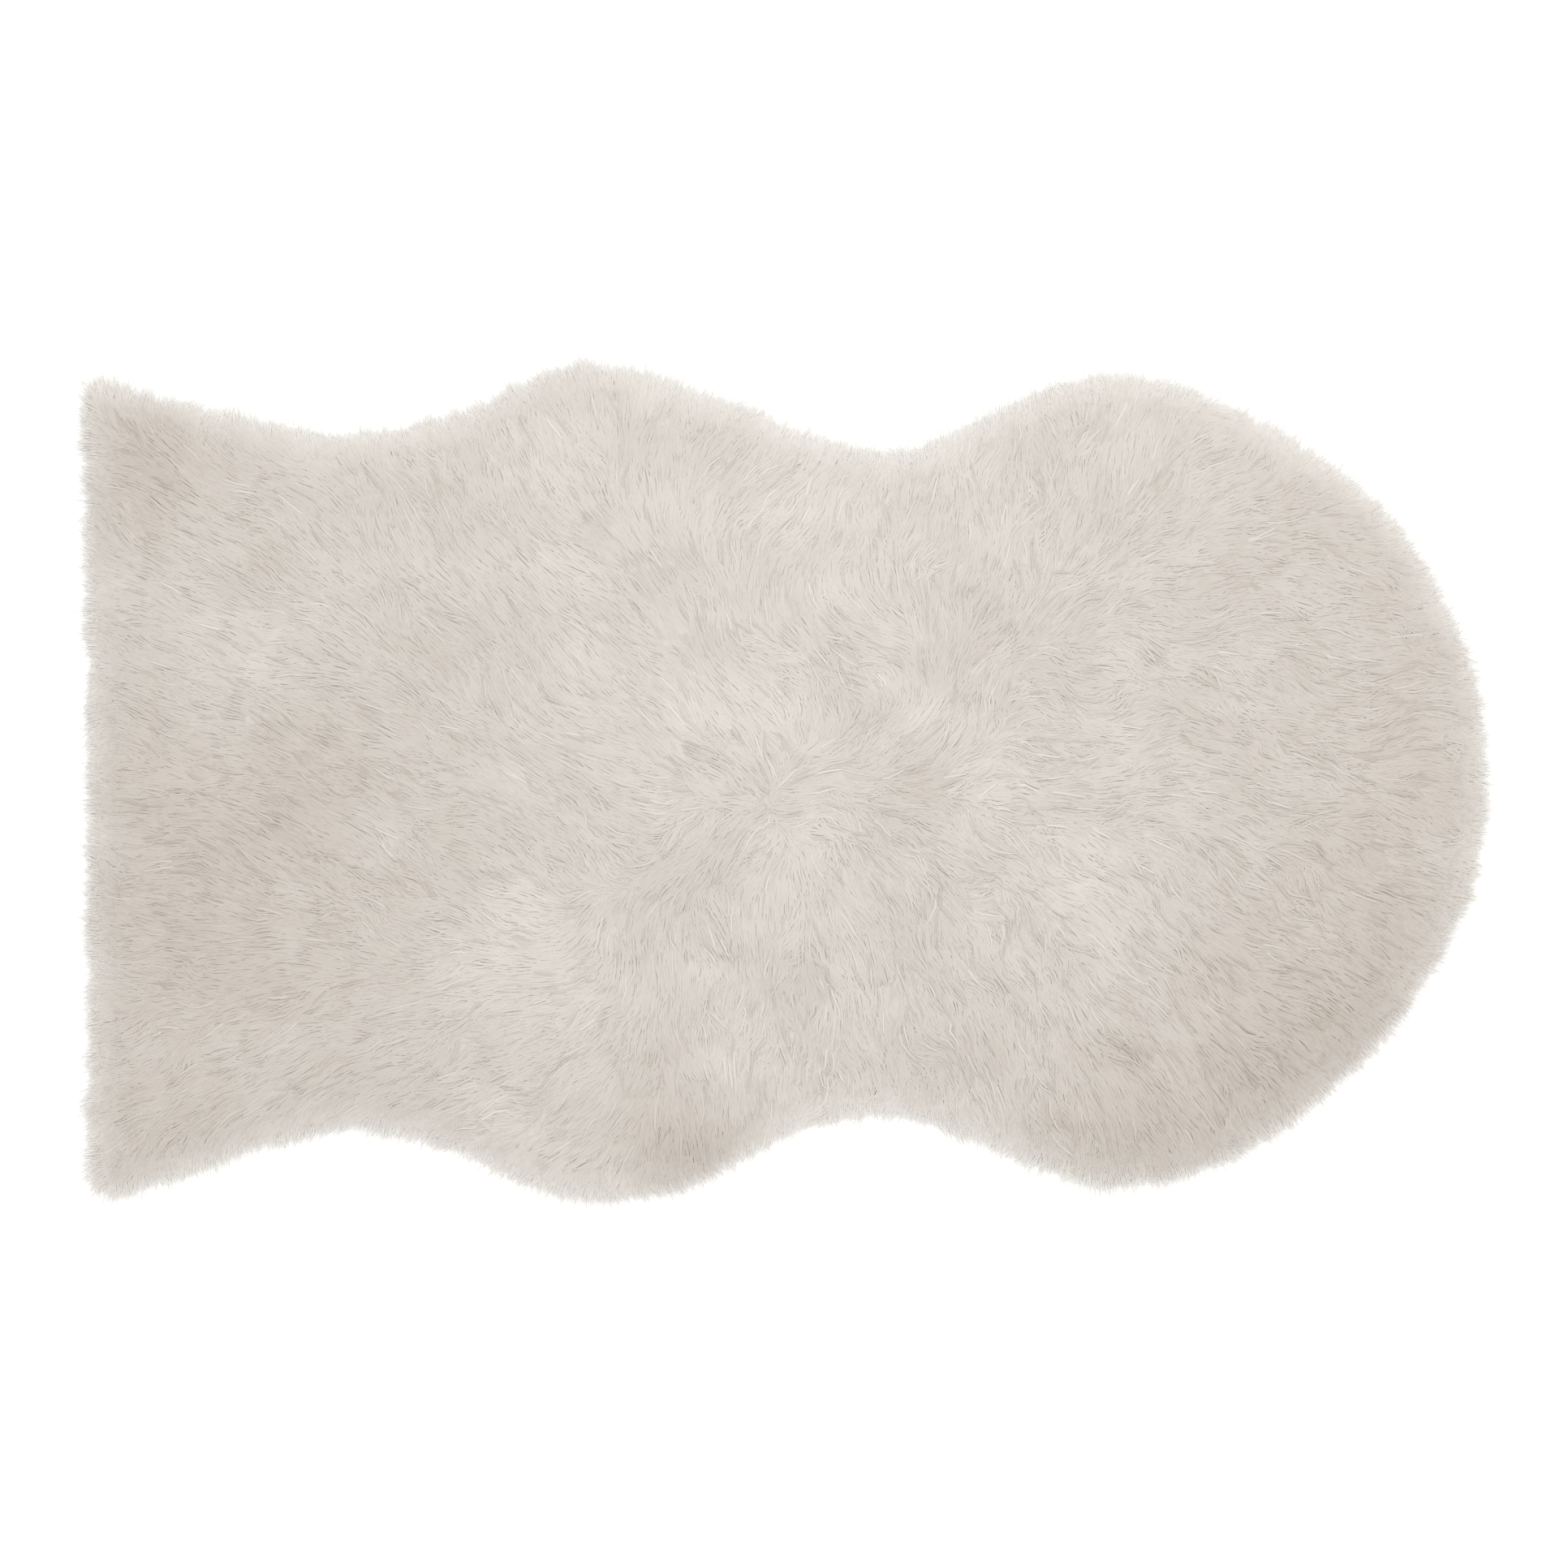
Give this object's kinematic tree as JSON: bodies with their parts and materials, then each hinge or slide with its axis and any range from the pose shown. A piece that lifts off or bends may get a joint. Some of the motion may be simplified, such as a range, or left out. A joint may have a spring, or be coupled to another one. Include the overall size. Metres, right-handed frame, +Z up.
{
  "type": "rug",
  "caption": "Shag rug in faux sheepskin: one piece of long-pile fabric cut to the outline of a fleece, with wavy sides and a round head, lying flat on a floor as a soft mat.",
  "frame": {"origin": "on the floor, under the middle of the rug's bounding box", "axes": "+X along the rug's length towards its round head, +Y across its width, +Z up from the ground cloth to the pile"},
  "size_m": [0.9992, 0.5982, 0.028],
  "materials": {
    "fur": "long soft polyester pile, warm off-white, matt with a faint sheen"
  },
  "bodies": {
    "root": {"rug": "fur"}
  },
  "joints": []
}
